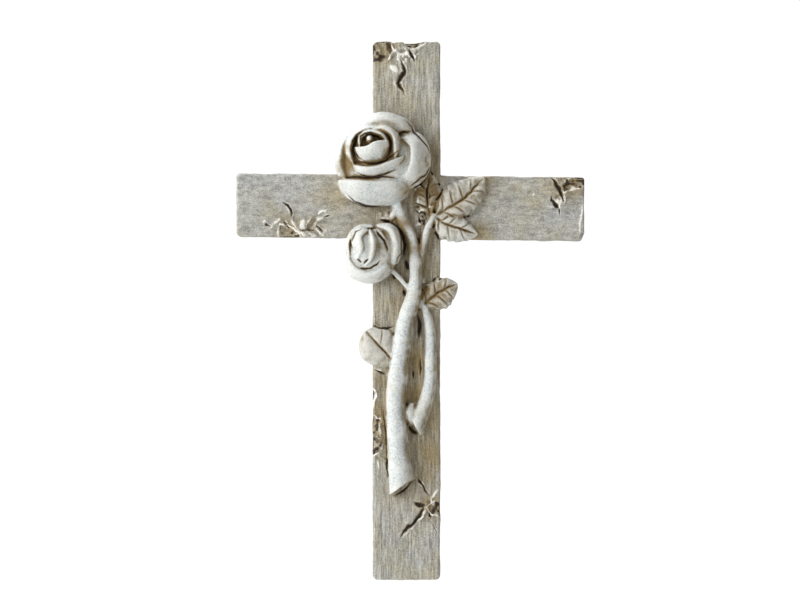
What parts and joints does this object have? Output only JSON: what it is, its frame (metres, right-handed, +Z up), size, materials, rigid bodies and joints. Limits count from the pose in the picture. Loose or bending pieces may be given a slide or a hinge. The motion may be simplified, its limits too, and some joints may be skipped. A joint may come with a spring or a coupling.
{
  "type": "resin grave cross",
  "caption": "Latin cross cast in resin with roses, curved stems and leaves in high relief, moulded cracks and an antiqued cream finish; flat back with a blind hole for hanging.",
  "frame": {"origin": "on the flat back, behind the middle of the crossing", "axes": "+X to the viewer's right, +Z up the upright, +Y into the wall, so the front faces -Y"},
  "size_m": [0.181, 0.0342, 0.28],
  "materials": {
    "antiqued_resin": "matt cream casting resin, brown wash in the hollows, white dry-brushed high spots"
  },
  "bodies": {
    "root": {"resin_cross": "antiqued_resin"}
  },
  "joints": []
}
